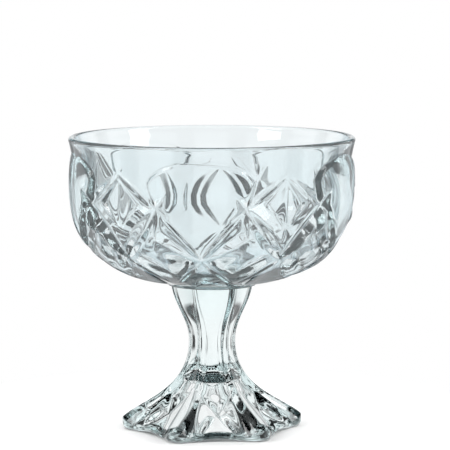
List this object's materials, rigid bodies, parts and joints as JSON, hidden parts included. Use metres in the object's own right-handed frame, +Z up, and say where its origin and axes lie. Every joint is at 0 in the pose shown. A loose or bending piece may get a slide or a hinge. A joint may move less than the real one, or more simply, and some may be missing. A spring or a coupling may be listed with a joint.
{
  "type": "footed dessert bowl",
  "caption": "Footed dessert bowl in clear pressed glass: flared collar, cut-style shields, diamonds and leaves on the bowl, a hexagonal stem and a spreading lobed foot. Holds a dessert.",
  "frame": {"origin": "middle of the plane that the foot rests on, on the axis of stem and bowl", "axes": "+Z up along the axis, towards the mouth; -Y out of the middle of one flat side of the stem; X through two opposite corners of the foot"},
  "size_m": [0.1118, 0.112, 0.115],
  "materials": {
    "bowl_glass": "fire-polished clear soda-lime glass, almost colourless",
    "pedestal_glass": "fire-polished clear soda-lime glass, almost colourless"
  },
  "bodies": {
    "root": {"bowl": "bowl_glass", "pedestal": "pedestal_glass"}
  },
  "joints": []
}
